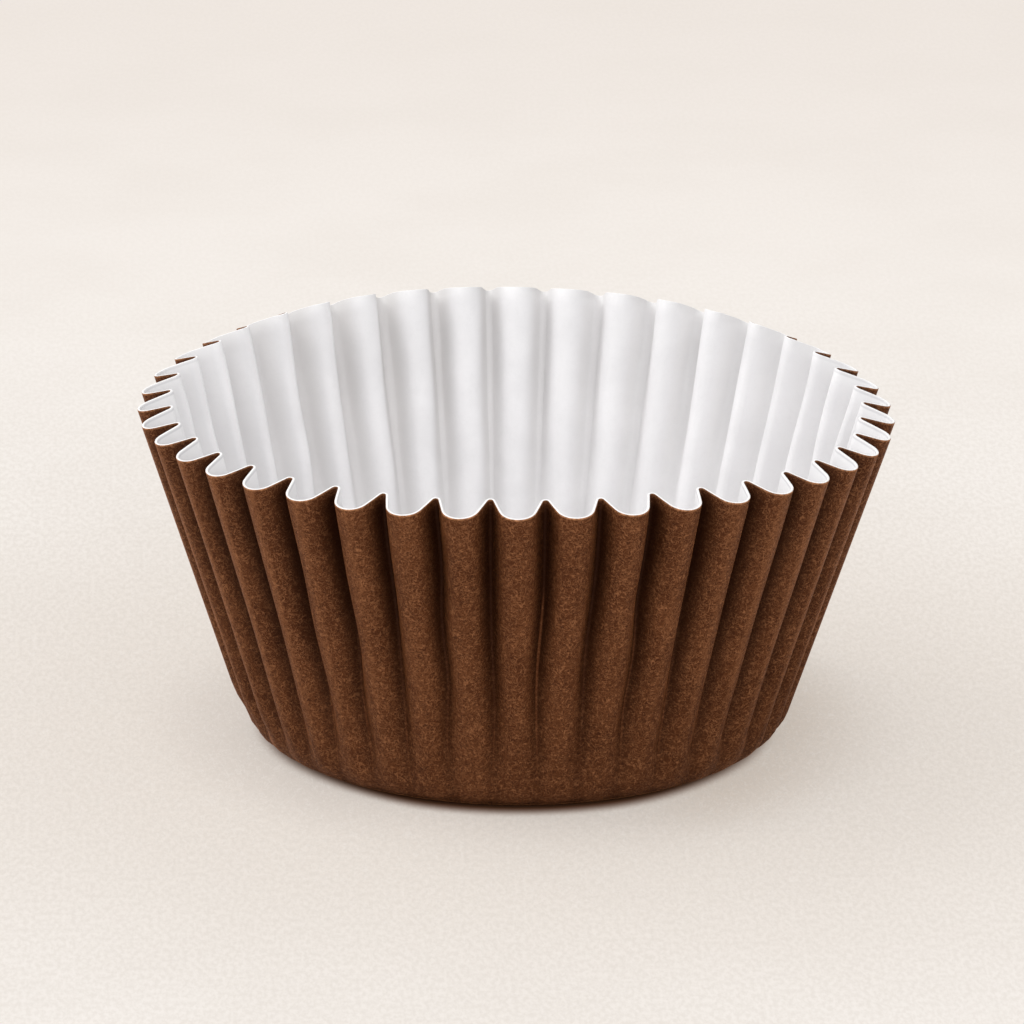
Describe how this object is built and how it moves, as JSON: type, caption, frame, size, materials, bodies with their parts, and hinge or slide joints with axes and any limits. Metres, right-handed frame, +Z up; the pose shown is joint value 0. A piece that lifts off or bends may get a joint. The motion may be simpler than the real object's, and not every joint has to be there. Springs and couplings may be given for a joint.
{
  "type": "sweet case",
  "caption": "Fluted round paper case for a single sweet, with a flat base and a pleated wall that leans outwards.",
  "frame": {"origin": "centre of the underside, on the case's axis", "axes": "+Z up along the axis, from the floor to the rim; a fold of the wall lies on +X"},
  "size_m": [0.0457, 0.0458, 0.0211],
  "materials": {
    "paper": "matt brown paper outside, plain white paper inside and along the cut edge"
  },
  "bodies": {
    "root": {"case": "paper"}
  },
  "joints": []
}
